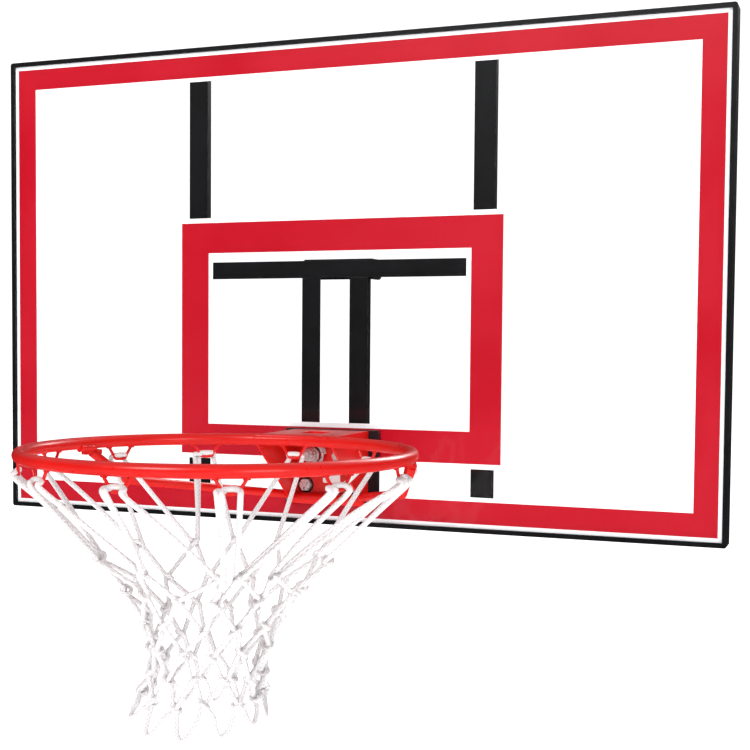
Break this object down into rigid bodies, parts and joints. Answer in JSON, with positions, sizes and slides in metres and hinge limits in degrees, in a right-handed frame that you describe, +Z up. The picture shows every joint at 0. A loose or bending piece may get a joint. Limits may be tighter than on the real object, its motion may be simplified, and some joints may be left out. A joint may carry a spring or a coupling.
{
  "type": "basketball backboard and rim",
  "caption": "Clear basketball backboard on a black steel frame, with a sprung breakaway rim, side braces, hooks and a hanging net, for a pole with parallel arms.",
  "frame": {"origin": "middle of the upper arm bolt's holes, behind the backboard", "axes": "+Z up, the board's front faces -Y, +X to the right seen from the front"},
  "size_m": [1.118, 0.6856, 0.908],
  "materials": {
    "clear_sheet": "gloss",
    "red_print": "satin",
    "white_print": "satin",
    "black_trim": "satin",
    "black_plate": "satin",
    "black_frame": "satin",
    "dark_screws": "satin",
    "zinc": "satin",
    "rim_paint": "gloss",
    "net_cord": "matt"
  },
  "bodies": {
    "backboard": {"board_sheet": "clear_sheet", "border_band": "red_print", "border_lines": "white_print", "target_band": "red_print", "target_lines": "white_print", "trim_top": "black_trim", "trim_bottom": "black_trim", "trim_left": "black_trim", "trim_right": "black_trim", "rail_top": "black_frame", "rail_bottom": "black_frame", "rail_left": "black_frame", "rail_right": "black_frame", "frame_screws": "dark_screws", "upright_left": "black_frame", "upright_right": "black_frame", "crossbar": "black_frame", "centre_bar_left": "black_frame", "centre_bar_right": "black_frame", "upper_arm_bracket": "black_frame", "lower_arm_bracket": "black_frame", "rear_plate": "black_frame", "front_plate": "black_plate", "mounting_bolts": "zinc", "mounting_washers": "zinc", "mounting_nuts": "zinc", "spring_bolts": "zinc", "spring_washers": "zinc", "spring_nuts": "zinc", "spring_left": "zinc", "spring_right": "zinc", "hinge_pin": "zinc", "hinge_clip": "zinc"},
    "rim": {"rim_bracket": "rim_paint", "ring": "rim_paint", "brace_left": "rim_paint", "brace_right": "rim_paint", "net_hooks": "rim_paint", "net": "net_cord"}
  },
  "joints": [
    {"name": "rim_breakaway", "type": "hinge", "parent": "backboard", "child": "rim", "pos_m": [0, -0.059, -0.3365], "axis": [1, 0, 0], "range_deg": [0, 12], "stiffness_Nm_per_rad": 250, "springref_deg": -11.46, "deforming": ["spring_left", "spring_right"]}
  ]
}
